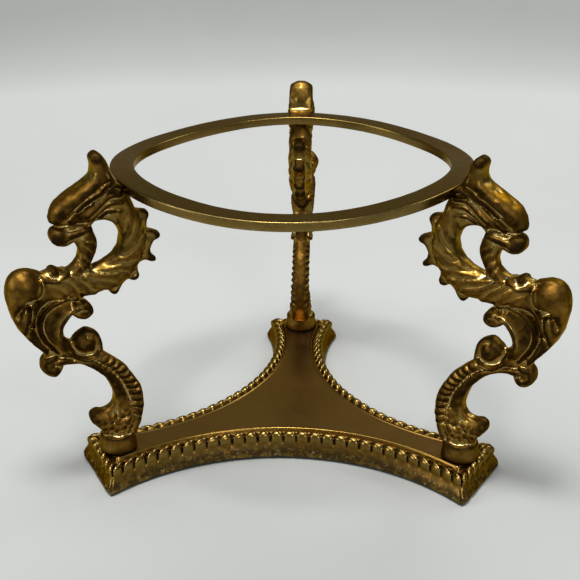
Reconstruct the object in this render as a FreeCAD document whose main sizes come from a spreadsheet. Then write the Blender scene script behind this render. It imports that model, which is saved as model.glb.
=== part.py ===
"""Cast-brass tripod ring stand: three griffin scroll legs on a concave-sided plinth carry a flat ring.

Frame: origin at the centre of the underside, +Z up, the rear leg towards +Y. Millimetres.
Pieces: plinth, felt sheet, ring, three legs, and for each leg a screw, a washer and a ring dowel.
"""
import FreeCAD
import Part

import math
import os
import Sketcher

from FreeCAD import Placement, Rotation, Vector

DIMENSIONS = {
    # ring
    "ring_outer_radius": 60.0,
    "ring_inner_radius": 52.2,
    "ring_thickness": 3.0,
    "ring_top": 101.5,
    "ring_seat_gap": 0.05,
    # plinth: an equilateral triangle whose sides are hollowed by three large cylinders
    "arm_reach": 75.2,
    "side_centre": 98.4,
    "side_radius": 74.4,
    "skirt_top": 3.4,
    "ledge_inset": 1.2,
    "ledge_top": 7.0,
    "deck_inset": 5.8,
    "deck_top": 9.0,
    "rim_line_height": 0.35,
    "rim_line_width": 0.7,
    "cavity_inset": 4.2,
    "cavity_top": 5.0,
    # gadroons, the row of rounded lobes under the deck edge
    "gadroon_radius": 2.1,
    "gadroon_inset": 3.2,
    "gadroon_centre": 6.7,
    "gadroon_pitch": 4.25,
    # felt sheet
    "felt_thickness": 0.8,
    "felt_inset": 0.6,
    # legs
    "leg_radius": 66.4,
    "boss_radius": 6.2,
    "boss_height": 5.8,
    "blade_thickness": 5.0,
    "neck_radius": 3.6,
    "tail_radius": 3.0,
    "left_azimuth": 210.0,
    "right_azimuth": 330.0,
    "rear_azimuth": 90.0,
    # leg screws, M4, and their washers
    "screw_radius": 2.0,
    "screw_length": 12.0,
    "screw_head_radius": 4.0,
    "screw_head_height": 2.6,
    "screw_slot_width": 1.0,
    "screw_slot_depth": 1.1,
    "screw_fit_gap": 0.05,
    "clearance_hole_radius": 2.25,
    "screw_hole_depth": 10.0,
    "washer_radius": 4.5,
    "washer_thickness": 0.8,
    # ring dowels
    "dowel_radius": 0.8,
    "dowel_length": 7.0,
    "dowel_in_ring": 3.8,
    "dowel_gap": 0.05,
}

# Leg outline in the leg's own plane as (distance from the stand's axis, height). Each run is one
# smooth curve; neighbouring runs meet at a corner, such as the notch between two spikes.
LEG_OUTLINE = [
    # tail, convex side
    [(62.0, 13.0), (60.4, 15.2), (58.3, 19.2), (57.0, 24.5), (57.4, 29.6), (59.4, 34.6), (63.4, 40.4),
     (69.4, 46.0)],
    # lower scroll
    [(69.4, 46.0), (69.9, 50.0), (71.4, 53.6), (74.6, 55.2), (77.2, 53.9), (78.6, 52.5)],
    # opening between the two scrolls
    [(78.6, 52.5), (80.2, 54.0), (80.8, 57.0), (79.9, 59.6), (78.2, 61.4)],
    # upper scroll
    [(78.2, 61.4), (76.2, 59.4), (74.0, 58.8), (72.1, 59.9), (71.7, 61.8), (73.4, 64.6), (75.8, 66.2)],
    # underside of the neck
    [(75.8, 66.2), (72.6, 67.1), (70.2, 67.5), (68.1, 67.8)],
    # spikes along the back of the neck, from the lowest up
    [(68.1, 67.8), (66.6, 67.5), (65.6, 66.3), (64.4, 65.3), (63.3, 65.8), (62.3, 67.2), (61.3, 68.8)],
    [(61.3, 68.8), (59.6, 69.9), (57.9, 69.0), (56.5, 69.2), (55.8, 70.6), (56.2, 72.4), (56.0, 74.4)],
    [(56.0, 74.4), (53.6, 75.2), (51.2, 74.3), (49.9, 74.6), (50.1, 75.6), (51.3, 77.0), (51.7, 78.9)],
    [(51.7, 78.9), (50.4, 81.2), (48.7, 81.9), (48.1, 82.8), (48.6, 83.8), (50.2, 84.6), (52.6, 85.6)],
    [(52.6, 85.6), (52.2, 88.2), (51.5, 90.0), (52.2, 91.5), (54.4, 92.2), (56.0, 92.9)],
    # nape
    [(56.0, 92.9), (57.2, 96.6), (58.6, 99.4), (60.0, 101.2), (62.8, 103.0)],
    # crest
    [(62.8, 103.0), (62.6, 106.4), (64.0, 109.6), (66.9, 112.4), (69.0, 111.6), (69.1, 108.4),
     (69.6, 105.2), (72.0, 102.8)],
    # forehead and upper beak
    [(72.0, 102.8), (75.6, 101.0), (79.0, 99.2), (81.4, 97.1), (82.7, 94.7), (82.8, 92.6), (81.9, 91.0)],
    # lower jaw
    [(81.9, 91.0), (83.2, 88.9), (83.0, 86.7), (81.3, 84.7), (78.6, 84.1), (76.0, 85.2)],
    # throat
    [(76.0, 85.2), (74.7, 82.6), (75.3, 79.6), (77.3, 77.3), (80.0, 76.4)],
    # breast knob
    [(80.0, 76.4), (81.6, 77.2), (83.2, 78.0), (84.4, 77.2), (86.6, 76.4)],
    # shoulder and belly
    [
        (86.6, 76.4), (89.0, 77.8), (92.4, 78.6), (95.6, 77.6), (97.6, 75.0), (98.4, 70.5),
        (97.2, 64.3), (94.7, 58.5),
        (91.2, 53.6), (87.9, 49.6),
    ],
    # hip lobe
    [(87.9, 49.6), (89.6, 47.2), (89.7, 44.2), (87.8, 41.6), (85.2, 41.0), (83.6, 42.6), (82.6, 45.0)],
    # tail, hollow side
    [(82.6, 45.0), (79.8, 44.8), (76.4, 43.6), (72.2, 40.4), (68.6, 35.8), (66.8, 30.6), (67.2, 27.4)],
    # foot lobe
    [(67.2, 27.4), (68.4, 25.7), (70.6, 24.8), (73.4, 25.2), (75.4, 24.2), (75.0, 21.4), (72.8, 18.6),
     (71.0, 15.6), (70.6, 13.0)],
    [(70.6, 13.0), (62.0, 13.0)],
]
THROAT_OPENING = [
    [(70.4, 89.6), (69.4, 86.2), (68.9, 83.6), (69.6, 80.6), (71.0, 77.8), (71.9, 75.4)],
    [
        (71.9, 75.4), (70.1, 76.1), (67.2, 77.1), (64.4, 78.4), (62.4, 80.3), (61.3, 82.9),
        (61.2, 85.7), (62.1, 88.3),
        (64.2, 90.1), (67.0, 91.0), (69.0, 90.8), (70.4, 89.6),
    ],
]
NECK_LINE = [
    (64.0, 97.0), (61.0, 94.6), (58.9, 91.0), (57.4, 87.0), (57.1, 82.6), (58.6, 78.6), (61.6, 75.2),
    (65.6, 72.6),
    (70.4, 71.4), (76.4, 71.4), (86.0, 71.8),
]
TAIL_LINE = [
    (65.6, 14.6), (62.4, 19.5), (61.2, 25.0), (61.9, 30.4), (64.2, 35.6), (68.2, 40.6), (73.6, 44.2),
    (80.0, 46.2),
]
# Rounded masses on the blade, each turned about its own long axis: name, centre (distance, height),
# half length, half thickness, and the long axis's tilt from the horizontal in degrees.
LEG_MASSES = [
    ("shoulder", (92.3, 72.2), 6.1, 6.1, 0.0),
    ("belly", (91.0, 61.8), 10.6, 4.8, 68.0),
    ("head", (75.0, 96.7), 8.2, 4.6, -31.0),
    ("crest", (66.3, 106.4), 5.8, 3.4, 78.0),
    ("jaw_ball", (80.1, 87.5), 3.1, 3.1, 0.0),
    ("lower_scroll", (74.5, 51.0), 3.8, 3.8, 0.0),
    ("upper_scroll", (74.7, 61.9), 2.9, 2.9, 0.0),
    ("hip_lobe", (86.8, 45.2), 3.9, 3.2, 75.0),
    ("foot_lobe", (70.4, 20.4), 4.6, 3.5, 25.0),
]

LEG_NAMES = ("left", "right", "rear")

doc = FreeCAD.newDocument("ring_stand")
sheet = doc.addObject("Spreadsheet::Sheet", "dims")
for row, (alias, number) in enumerate(DIMENSIONS.items(), start=1):
    sheet.set(f"A{row}", alias)
    sheet.set(f"B{row}", str(number))
    sheet.setAlias(f"B{row}", alias)
doc.recompute()

D = DIMENSIONS


def new_body(name):
    body = doc.addObject("PartDesign::Body", name)
    body.Label = name
    return body


def new_sketch(body, name, role):
    """An empty sketch on one of the body's own origin planes."""
    sketch = body.newObject("Sketcher::SketchObject", name)
    plane = [f for f in body.Origin.OriginFeatures if f.Role == role][0]
    sketch.AttachmentSupport = [(plane, "")]
    sketch.MapMode = "FlatFace"
    return sketch


def constrain(sketch, name, expression, *parts):
    """Adds a named dimension to the sketch and binds it to the sheet."""
    index = sketch.addConstraint(Sketcher.Constraint(*parts))
    sketch.renameConstraint(index, name)
    sketch.setExpression(f"Constraints.{name}", expression)


def circle_sketch(body, name, role, radius, centre_x=None, centre_y=None):
    """One circle. radius, centre_x and centre_y are (number, expression) pairs."""
    sketch = new_sketch(body, name, role)
    x = centre_x[0] if centre_x else 0.0
    y = centre_y[0] if centre_y else 0.0
    sketch.addGeometry(Part.Circle(Vector(x, y, 0), Vector(0, 0, 1), radius[0]), False)
    constrain(sketch, "radius", radius[1], "Radius", 0, radius[0])
    if centre_x:
        constrain(sketch, "centre_x", centre_x[1], "DistanceX", -1, 1, 0, 3, x)
    else:
        sketch.addConstraint(Sketcher.Constraint("PointOnObject", 0, 3, -2))
    if centre_y:
        constrain(sketch, "centre_y", centre_y[1], "DistanceY", -1, 1, 0, 3, y)
    else:
        sketch.addConstraint(Sketcher.Constraint("PointOnObject", 0, 3, -1))
    return sketch


def pad(body, sketch, name, length, symmetric=False):
    feature = body.newObject("PartDesign::Pad", name)
    feature.Profile = sketch
    if symmetric:
        feature.SideType = "Symmetric"
    feature.setExpression("Length", length)
    return feature


def pocket(body, sketch, name, length, reverse=False):
    feature = body.newObject("PartDesign::Pocket", name)
    feature.Profile = sketch
    feature.Reversed = reverse
    feature.setExpression("Length", length)
    return feature


def polar(body, original, name, count=3):
    """Repeats a feature evenly round the body's Z axis."""
    pattern = body.newObject("PartDesign::PolarPattern", name)
    pattern.Originals = [original]
    pattern.Axis = ([f for f in body.Origin.OriginFeatures if f.Role == "Z_Axis"][0], [""])
    pattern.Angle = 360
    pattern.Occurrences = count
    body.Tip = pattern
    return pattern


# ---------------------------------------------------------------- plinth

def plinth_layer(name, inset, bottom, top):
    """A slab with the plinth's plan, moved in by inset, from bottom to top, each given as an expression."""
    body = new_body(name)
    inset_now, bottom_now = number(inset), number(bottom)
    reach = D["arm_reach"] - inset_now
    triangle = new_sketch(body, name + "_triangle", "XY_Plane")
    corner_distance = 2 * reach
    corners = [
        Vector(corner_distance * math.cos(math.radians(a)), corner_distance * math.sin(math.radians(a)), 0)
        for a in (270, 30, 150)
    ]
    for i in range(3):
        triangle.addGeometry(Part.LineSegment(corners[i], corners[(i + 1) % 3]), False)
    for i in range(3):
        triangle.addConstraint(Sketcher.Constraint("Coincident", i, 2, (i + 1) % 3, 1))
    triangle.addConstraint(Sketcher.Constraint("Equal", 0, 1))
    triangle.addConstraint(Sketcher.Constraint("Equal", 1, 2))
    triangle.addConstraint(Sketcher.Constraint("Horizontal", 1))
    triangle.addConstraint(Sketcher.Constraint("PointOnObject", 0, 1, -2))
    constrain(triangle, "reach", f"dims.arm_reach - ({inset})", "DistanceY", -1, 1, 1, 1, reach)
    triangle.setExpression("AttachmentOffset.Base.z", bottom)
    slab = pad(body, triangle, name + "_slab", f"({top}) - ({bottom})")
    hollow = circle_sketch(
        body, name + "_hollow_circle", "XY_Plane",
        (D["side_radius"] + inset_now, f"dims.side_radius + ({inset})"),
        centre_x=(D["side_centre"] * math.cos(math.radians(30)), "dims.side_centre * cos(30)"),
        centre_y=(D["side_centre"] * 0.5, "dims.side_centre * 0.5"),
    )
    hollow.setExpression("AttachmentOffset.Base.z", bottom)
    doc.recompute()
    cut = pocket(body, hollow, name + "_hollow", f"({top}) - ({bottom})", reverse=True)
    polar(body, cut, name + "_hollows")
    doc.recompute()
    if not cut.Shape.Volume < slab.Shape.Volume:
        raise RuntimeError(name + ": the hollow cuts nothing")
    return body


def number(expression):
    """The present value of an expression made of sheet aliases, numbers and + - signs."""
    total = 0.0
    for term in expression.replace("-", "+-").split("+"):
        term = term.strip()
        if not term:
            continue
        sign = -1.0 if term.startswith("-") else 1.0
        term = term.lstrip("- ")
        total += sign * (D[term[5:]] if term.startswith("dims.") else float(term))
    return total


def join(kind, name, base, tool):
    result = doc.addObject(kind, name)
    result.Base = base
    result.Tool = tool
    return result


def gadroon_centres():
    """Points along the plinth's edge, evenly spaced on each hollow side and each arm end."""
    inset = D["gadroon_inset"]
    radius = D["side_radius"] + inset
    end = D["arm_reach"] - inset
    # the side facing -Y: its circle is centred on -Y, and meets the neighbouring arm ends
    left_end_normal = Vector(math.cos(math.radians(210)), math.sin(math.radians(210)), 0)
    half_angle = 0.0
    while True:
        on_side = Vector(-radius * math.sin(half_angle), radius * math.cos(half_angle) - D["side_centre"], 0)
        if on_side.dot(left_end_normal) >= end:
            break
        half_angle += math.radians(0.05)
    count = round(2 * half_angle * radius / D["gadroon_pitch"])
    side = []
    for i in range(count + 1):
        angle = half_angle * (2 * i / count - 1)
        side.append(Vector(radius * math.sin(angle), radius * math.cos(angle) - D["side_centre"], 0))
    # the +Y arm's end, between the two corner lobes, which belong to the sides
    half_width = abs(side[0].dot(Vector(-left_end_normal.y, left_end_normal.x, 0)))
    end_count = round(2 * half_width / D["gadroon_pitch"])
    arm_end = [Vector(half_width * (2 * i / end_count - 1), end, 0) for i in range(1, end_count)]
    points = []
    for turn in (0, 120, 240):
        rotation = Rotation(Vector(0, 0, 1), turn)
        points += [rotation.multVec(p) for p in side + arm_end]
    return points


def make_plinth():
    skirt = plinth_layer("plinth_skirt", "0", "dims.felt_thickness", "dims.skirt_top")
    ledge = plinth_layer("plinth_ledge", "dims.ledge_inset", "dims.skirt_top", "dims.ledge_top")
    deck_height = "dims.deck_top + dims.rim_line_height"
    deck = plinth_layer("plinth_deck", "dims.deck_inset", "dims.ledge_top", deck_height)
    recess = plinth_layer(
        "plinth_deck_recess", "dims.deck_inset + dims.rim_line_width", "dims.deck_top", "dims.deck_top + 1.0"
    )
    cavity = plinth_layer("plinth_cavity", "dims.cavity_inset", "0", "dims.cavity_top")
    lobes = doc.addObject("Part::Feature", "gadroon_row")
    centre = D["gadroon_centre"]
    lobes.Shape = Part.makeCompound([
        Part.makeSphere(D["gadroon_radius"], Vector(p.x, p.y, centre)) for p in gadroon_centres()
    ])
    steps = join("Part::Fuse", "plinth_steps", join("Part::Fuse", "plinth_edge", skirt, ledge), deck)
    beaded = join("Part::Fuse", "plinth_beaded", steps, lobes)
    recessed = join("Part::Cut", "plinth_recessed", beaded, recess)
    hollowed = join("Part::Cut", "plinth_hollowed", recessed, cavity)
    drills = new_body("plinth_screw_drills")
    hole = circle_sketch(
        drills, "plinth_screw_circle", "XY_Plane",
        (D["clearance_hole_radius"], "dims.clearance_hole_radius"),
        centre_y=(D["leg_radius"], "dims.leg_radius"),
    )
    drill = pad(drills, hole, "plinth_screw_drill", "dims.deck_top + 2")
    polar(drills, drill, "plinth_screw_drill_set")
    plinth = join("Part::Cut", "base_plate", hollowed, drills)
    plinth.Label = "base_plate"
    return plinth


# ---------------------------------------------------------------- legs

def outline_sketch(body, name, runs):
    """A closed outline on the body's XZ plane, one interpolated curve or line for each run."""
    sketch = new_sketch(body, name, "XZ_Plane")
    for run in runs:
        points = [Vector(r, h, 0) for r, h in run]
        if len(points) == 2:
            sketch.addGeometry(Part.LineSegment(*points), False)
            continue
        curve = Part.BSplineCurve()
        curve.interpolate(points)
        sketch.addGeometry(curve, False)
    return sketch


def pipe(body, name, line, radius):
    """A round bar along an open curve on the body's XZ plane."""
    spine = outline_sketch(body, name + "_line", [line])
    doc.recompute()
    section = body.newObject("Sketcher::SketchObject", name + "_section")
    section.AttachmentSupport = [(spine, "Edge1")]
    section.MapMode = "NormalToEdge"
    section.addGeometry(Part.Circle(Vector(0, 0, 0), Vector(0, 0, 1), D[radius]), False)
    section.addConstraint(Sketcher.Constraint("Coincident", 0, 3, -1, 1))
    constrain(section, "radius", "dims." + radius, "Radius", 0, D[radius])
    feature = body.newObject("PartDesign::AdditivePipe", name)
    feature.Profile = section
    feature.Spine = (spine, ["Edge1"])
    return feature


def mass(body, name, centre, half_length, half_thickness, tilt):
    """A spindle or ball in the leg's plane: a half ellipse turned about its long axis."""
    sketch = new_sketch(body, name + "_profile", "XZ_Plane")
    sketch.AttachmentOffset = Placement(Vector(centre[0], centre[1], 0), Rotation(Vector(0, 0, 1), tilt))
    if half_length == half_thickness:
        whole = Part.Circle(Vector(0, 0, 0), Vector(0, 0, 1), half_length)
        half = Part.ArcOfCircle(whole, 0, math.pi)
    else:
        whole = Part.Ellipse(Vector(0, 0, 0), half_length, half_thickness)
        half = Part.ArcOfEllipse(whole, 0, math.pi)
    sketch.addGeometry(half, False)
    sketch.addGeometry(Part.LineSegment(Vector(-half_length, 0, 0), Vector(half_length, 0, 0)), False)
    feature = body.newObject("PartDesign::Revolution", name)
    feature.Profile = sketch
    feature.ReferenceAxis = (sketch, ["H_Axis"])
    feature.Angle = 360
    return feature


def make_leg(side):
    name = "leg_" + side
    body = new_body(name)
    boss = circle_sketch(
        body, name + "_boss_circle", "XY_Plane",
        (D["boss_radius"], "dims.boss_radius"),
        centre_x=(D["leg_radius"], "dims.leg_radius"),
    )
    boss.setExpression("AttachmentOffset.Base.z", "dims.deck_top")
    pad(body, boss, name + "_boss", "dims.boss_height")
    blade = outline_sketch(body, name + "_outline", LEG_OUTLINE + THROAT_OPENING)
    pad(body, blade, name + "_blade", "dims.blade_thickness", symmetric=True)
    doc.recompute()
    pipe(body, name + "_neck", NECK_LINE, "neck_radius")
    doc.recompute()
    pipe(body, name + "_tail", TAIL_LINE, "tail_radius")
    doc.recompute()
    for part, *shape in LEG_MASSES:
        mass(body, f"{name}_{part}", *shape)
    doc.recompute()

    # seat for the ring's outer edge
    seat = new_sketch(body, name + "_seat_section", "XZ_Plane")
    gap = D["ring_seat_gap"]
    low = D["ring_top"] - D["ring_thickness"] - gap
    high = D["ring_top"] + gap
    edge = D["ring_outer_radius"] + gap
    inner = D["ring_inner_radius"] - 2
    box = [Vector(inner, low, 0), Vector(edge, low, 0), Vector(edge, high, 0), Vector(inner, high, 0)]
    for i in range(4):
        seat.addGeometry(Part.LineSegment(box[i], box[(i + 1) % 4]), False)
    for i in range(4):
        seat.addConstraint(Sketcher.Constraint("Coincident", i, 2, (i + 1) % 4, 1))
        seat.addConstraint(Sketcher.Constraint("Horizontal" if i % 2 == 0 else "Vertical", i))
    seat_low = "dims.ring_top - dims.ring_thickness - dims.ring_seat_gap"
    constrain(seat, "low", seat_low, "DistanceY", -1, 1, 0, 1, low)
    constrain(seat, "high", "dims.ring_top + dims.ring_seat_gap", "DistanceY", -1, 1, 2, 1, high)
    constrain(seat, "edge", "dims.ring_outer_radius + dims.ring_seat_gap", "DistanceX", -1, 1, 1, 1, edge)
    constrain(seat, "inner", "dims.ring_inner_radius - 2", "DistanceX", -1, 1, 0, 1, inner)
    groove = body.newObject("PartDesign::Groove", name + "_seat")
    groove.Profile = seat
    groove.ReferenceAxis = (seat, ["V_Axis"])
    groove.Angle = 360

    tapped = circle_sketch(
        body, name + "_tapped_circle", "XY_Plane",
        (D["screw_radius"] + D["screw_fit_gap"], "dims.screw_radius + dims.screw_fit_gap"),
        centre_x=(D["leg_radius"], "dims.leg_radius"),
    )
    tapped.setExpression("AttachmentOffset.Base.z", "dims.deck_top")
    pocket(body, tapped, name + "_tapped_hole", "dims.screw_hole_depth", reverse=True)

    dowel = circle_sketch(
        body, name + "_dowel_circle", "YZ_Plane",
        (D["dowel_radius"] + D["dowel_gap"], "dims.dowel_radius + dims.dowel_gap"),
        centre_y=(D["ring_top"] - D["ring_thickness"] / 2, "dims.ring_top - dims.ring_thickness / 2"),
    )
    pocket(
        body, dowel, name + "_dowel_hole",
        "dims.ring_outer_radius + dims.dowel_length - dims.dowel_in_ring + 0.3", reverse=True,
    )
    body.Placement = Placement(Vector(0, 0, 0), Rotation(Vector(0, 0, 1), D[side + "_azimuth"]))
    doc.recompute()
    return body


# ---------------------------------------------------------------- ring, felt and fixings

def make_ring():
    body = new_body("top_ring")
    outer_radius = (D["ring_outer_radius"], "dims.ring_outer_radius")
    outer = circle_sketch(body, "ring_outer_circle", "XY_Plane", outer_radius)
    outer.setExpression("AttachmentOffset.Base.z", "dims.ring_top - dims.ring_thickness")
    pad(body, outer, "ring_disc", "dims.ring_thickness")
    inner_radius = (D["ring_inner_radius"], "dims.ring_inner_radius")
    inner = circle_sketch(body, "ring_inner_circle", "XY_Plane", inner_radius)
    inner.setExpression("AttachmentOffset.Base.z", "dims.ring_top - dims.ring_thickness")
    pocket(body, inner, "ring_opening", "dims.ring_thickness", reverse=True)
    socket = circle_sketch(
        body, "ring_dowel_circle", "XZ_Plane",
        (D["dowel_radius"] + D["dowel_gap"], "dims.dowel_radius + dims.dowel_gap"),
        centre_y=(D["ring_top"] - D["ring_thickness"] / 2, "dims.ring_top - dims.ring_thickness / 2"),
    )
    socket.setExpression("AttachmentOffset.Base.z", "-(dims.ring_outer_radius - dims.dowel_in_ring - 0.1)")
    doc.recompute()
    drilled = pocket(body, socket, "ring_dowel_socket", "dims.dowel_in_ring + 1")
    polar(body, drilled, "ring_dowel_sockets")
    doc.recompute()
    return body


def make_felt():
    felt = plinth_layer("base_felt", "dims.felt_inset", "0", "dims.felt_thickness")
    felt.Label = "base_felt"
    return felt


def stand_at_leg(body, side):
    """Turns a fixing modelled on the +X axis round to its leg."""
    body.Placement = Placement(Vector(0, 0, 0), Rotation(Vector(0, 0, 1), D[side + "_azimuth"]))
    return body


def make_screw(side):
    """Slotted pan-head M4 screw, head down, its shank running up through the plinth into the leg's boss."""
    name = "leg_screw_" + side
    body = new_body(name)
    seat = "dims.cavity_top - dims.washer_thickness"
    for part, radius, base, length in (
        ("head", "screw_head_radius", f"{seat} - dims.screw_head_height", "dims.screw_head_height"),
        ("shank", "screw_radius", seat, "dims.screw_length"),
    ):
        circle = circle_sketch(
            body, f"{name}_{part}_circle", "XY_Plane", (D[radius], "dims." + radius),
            centre_x=(D["leg_radius"], "dims.leg_radius"),
        )
        circle.setExpression("AttachmentOffset.Base.z", base)
        pad(body, circle, f"{name}_{part}", length)
    slot = new_sketch(body, name + "_slot_outline", "XZ_Plane")
    half = D["screw_slot_width"] / 2
    low = D["cavity_top"] - D["washer_thickness"] - D["screw_head_height"]
    high = low + D["screw_slot_depth"]
    mid = D["leg_radius"]
    box = [
        Vector(mid - half, low, 0), Vector(mid + half, low, 0),
        Vector(mid + half, high, 0), Vector(mid - half, high, 0),
    ]
    for i in range(4):
        slot.addGeometry(Part.LineSegment(box[i], box[(i + 1) % 4]), False)
    for i in range(4):
        slot.addConstraint(Sketcher.Constraint("Coincident", i, 2, (i + 1) % 4, 1))
        slot.addConstraint(Sketcher.Constraint("Horizontal" if i % 2 == 0 else "Vertical", i))
    constrain(slot, "low", f"{seat} - dims.screw_head_height", "DistanceY", -1, 1, 0, 1, low)
    constrain(slot, "depth", "dims.screw_slot_depth", "DistanceY", 0, 1, 2, 1, D["screw_slot_depth"])
    slot_near = "dims.leg_radius - dims.screw_slot_width / 2"
    constrain(slot, "near", slot_near, "DistanceX", -1, 1, 0, 1, mid - half)
    constrain(slot, "width", "dims.screw_slot_width", "DistanceX", 0, 1, 0, 2, D["screw_slot_width"])
    cut = pocket(body, slot, name + "_slot", "dims.screw_head_radius * 2 + 2")
    cut.SideType = "Symmetric"
    return stand_at_leg(body, side)


def make_washer(side):
    name = "leg_washer_" + side
    body = new_body(name)
    base = "dims.cavity_top - dims.washer_thickness"
    for part, radius in (("rim", "washer_radius"), ("bore", "clearance_hole_radius")):
        circle = circle_sketch(
            body, f"{name}_{part}_circle", "XY_Plane", (D[radius], "dims." + radius),
            centre_x=(D["leg_radius"], "dims.leg_radius"),
        )
        circle.setExpression("AttachmentOffset.Base.z", base)
        if part == "rim":
            pad(body, circle, f"{name}_{part}", "dims.washer_thickness")
        else:
            pocket(body, circle, f"{name}_{part}", "dims.washer_thickness", reverse=True)
    return stand_at_leg(body, side)


def make_dowel(side):
    """Round pin lying along a radius, half in the ring's edge and half in the leg's nape."""
    name = "ring_dowel_" + side
    body = new_body(name)
    circle = circle_sketch(
        body, name + "_circle", "YZ_Plane", (D["dowel_radius"], "dims.dowel_radius"),
        centre_y=(D["ring_top"] - D["ring_thickness"] / 2, "dims.ring_top - dims.ring_thickness / 2"),
    )
    circle.setExpression("AttachmentOffset.Base.z", "dims.ring_outer_radius - dims.dowel_in_ring")
    pad(body, circle, name + "_bar", "dims.dowel_length")
    return stand_at_leg(body, side)


sub_parts = [make_plinth(), make_felt(), make_ring()]
for leg_side in LEG_NAMES:
    sub_parts += [make_leg(leg_side), make_screw(leg_side), make_washer(leg_side), make_dowel(leg_side)]
doc.recompute()

for item in doc.Objects:
    if "Invalid" in item.State or "Error" in item.State:
        raise RuntimeError(f"{item.Label} failed: {item.State}")
for item in sub_parts:
    if item.Shape.isNull() or not item.Shape.isValid():
        raise RuntimeError(f"{item.Label} has no valid shape")
    if len(item.Shape.Solids) != 1:
        raise RuntimeError(f"{item.Label} has {len(item.Shape.Solids)} solids")

os.makedirs("parts", exist_ok=True)
for item in sub_parts:
    item.Shape.exportStep(os.path.join("parts", item.Label + ".step"))
    print(item.Label, round(item.Shape.Volume, 1), "mm3")
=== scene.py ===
"""Looks of the ring stand: griffin legs, beaded plinth and ring in old brass, on a pale table.

Everything is worked out in millimetres and turned into metres when a mesh is made.
The legs are sculpted as a distance field on a grid, then meshed.
"""

import math

import bpy
import numpy as np
from mathutils import Matrix, Vector


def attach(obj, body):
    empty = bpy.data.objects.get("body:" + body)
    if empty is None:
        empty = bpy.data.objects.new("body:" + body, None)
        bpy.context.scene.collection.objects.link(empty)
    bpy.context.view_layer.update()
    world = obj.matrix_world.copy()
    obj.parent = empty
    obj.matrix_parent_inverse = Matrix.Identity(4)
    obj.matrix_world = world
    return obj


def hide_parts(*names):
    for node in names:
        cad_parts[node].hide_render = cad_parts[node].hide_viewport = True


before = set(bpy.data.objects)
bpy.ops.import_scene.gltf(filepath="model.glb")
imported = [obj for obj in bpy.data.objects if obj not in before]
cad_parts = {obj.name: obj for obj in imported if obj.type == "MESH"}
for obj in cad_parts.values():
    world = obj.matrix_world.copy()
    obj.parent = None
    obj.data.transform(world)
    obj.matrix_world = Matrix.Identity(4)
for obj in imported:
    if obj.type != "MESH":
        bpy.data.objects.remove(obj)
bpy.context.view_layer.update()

MM = 0.001
RING_OUTER, RING_INNER, RING_TOP, RING_BOTTOM = 60.0, 52.2, 101.0, 98.0
RING_WAVE = 1.1
DECK_TOP, FELT_TOP = 9.0, 0.8
LEG_RADIUS, BOSS_RADIUS, BOSS_FLARE, BOSS_TOP = 66.4, 5.7, 0.7, 15.3
LEG_AZIMUTHS = {"leg_left": 210.0, "leg_right": 330.0, "leg_rear": 90.0}
GRID_STEP = 0.325


# ---- numbers and noise

def spline(points, per_span=10):
    """Catmull-Rom curve through points (any number of columns)."""
    p = np.array(points, float)
    if len(p) == 2:
        t = np.linspace(0, 1, per_span + 1)[:, None]
        return p[0] * (1 - t) + p[1] * t
    p = np.vstack([2 * p[0] - p[1], p, 2 * p[-1] - p[-2]])
    out = []
    for i in range(1, len(p) - 2):
        t = np.linspace(0, 1, per_span, endpoint=False)[:, None]
        a, b, c, d = p[i - 1], p[i], p[i + 1], p[i + 2]
        square = (2 * a - 5 * b + 4 * c - d) * t ** 2
        cube = (3 * b - a - 3 * c + d) * t ** 3
        out.append(0.5 * (2 * b + (c - a) * t + square + cube))
    out.append(p[-2][None])
    return np.vstack(out)


def ease(low, high, x):
    """Rises smoothly from 0 at low to 1 at high, or falls when low is the larger."""
    t = np.clip((x - low) / (high - low), 0, 1)
    return t * t * (3 - 2 * t)


def smooth_min(a, b, k):
    """The smaller of a and b, with a fillet where they are within k of each other."""
    h = np.maximum(k - np.abs(a - b), 0) / k
    return np.minimum(a, b) - h * h * k / 4


def meet(a, b, radius):
    """The distance to what lies within both a and b, with the edge between them rounded to radius."""
    a, b = a + radius, b + radius
    return np.hypot(np.maximum(a, 0), np.maximum(b, 0)) + np.minimum(np.maximum(a, b), 0) - radius


def teeth(x, pitch):
    """A row of straight teeth: from 1 down to 0 and back to 1 over each pitch of x."""
    return np.abs((x / pitch) % 1.0 - 0.5) * 2


def lattice(ix, iy, iz, seed):
    """A fixed random number from 0 to 1 for each whole-number place."""
    n = (ix * 73856093) ^ (iy * 19349663) ^ (iz * 83492791) ^ (seed * 2654435761)
    n = (n ^ (n >> 13)) * 1274126177
    return ((n ^ (n >> 16)) & 0xFFFF) / 65535.0


def draw(a, b, c, seed):
    """One of the lattice's random numbers."""
    return lattice(np.array([a]), np.array([b]), np.array([c]), seed)[0]


def noise(points, scale, seed):
    """Smooth value noise from -1 to 1 at points (n, 3), with features about scale across."""
    q = points / scale
    base = np.floor(q).astype(np.int64)
    f = q - base
    f = f * f * (3 - 2 * f)
    total = np.zeros(len(points))
    for corner in np.ndindex(2, 2, 2):
        share = np.where(corner, f, 1 - f)
        w = share[:, 0] * share[:, 1] * share[:, 2]
        total += w * lattice(*(base + corner).T, seed)
    return total * 2 - 1


# ---- leg sculpting

# The leg lies in the plane of r, the distance from the stand's axis, and z, the height. The grid holds
# one flank, y above 0, and the other is its mirror image.
R_LOW, R_HIGH, Z_LOW, Z_HIGH, Y_HIGH = 46.2, 101.4, 8.1, 114.9, 8.1
r_axis = np.arange(R_LOW, R_HIGH, GRID_STEP)
z_axis = np.arange(Z_LOW, Z_HIGH, GRID_STEP)
y_axis = (np.arange(int(Y_HIGH / GRID_STEP)) + 0.5) * GRID_STEP
FAR = 6.0
THINNEST = 0.15
FLANK_STARTS, FLANK_FULL = 0.8, 2.3
PRESSED_SHARE = 0.17
field = np.full((len(r_axis), len(z_axis), len(y_axis)), FAR, np.float32)
relief = np.zeros((len(r_axis), len(z_axis)), np.float32)
side_relief = relief.copy()


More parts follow.
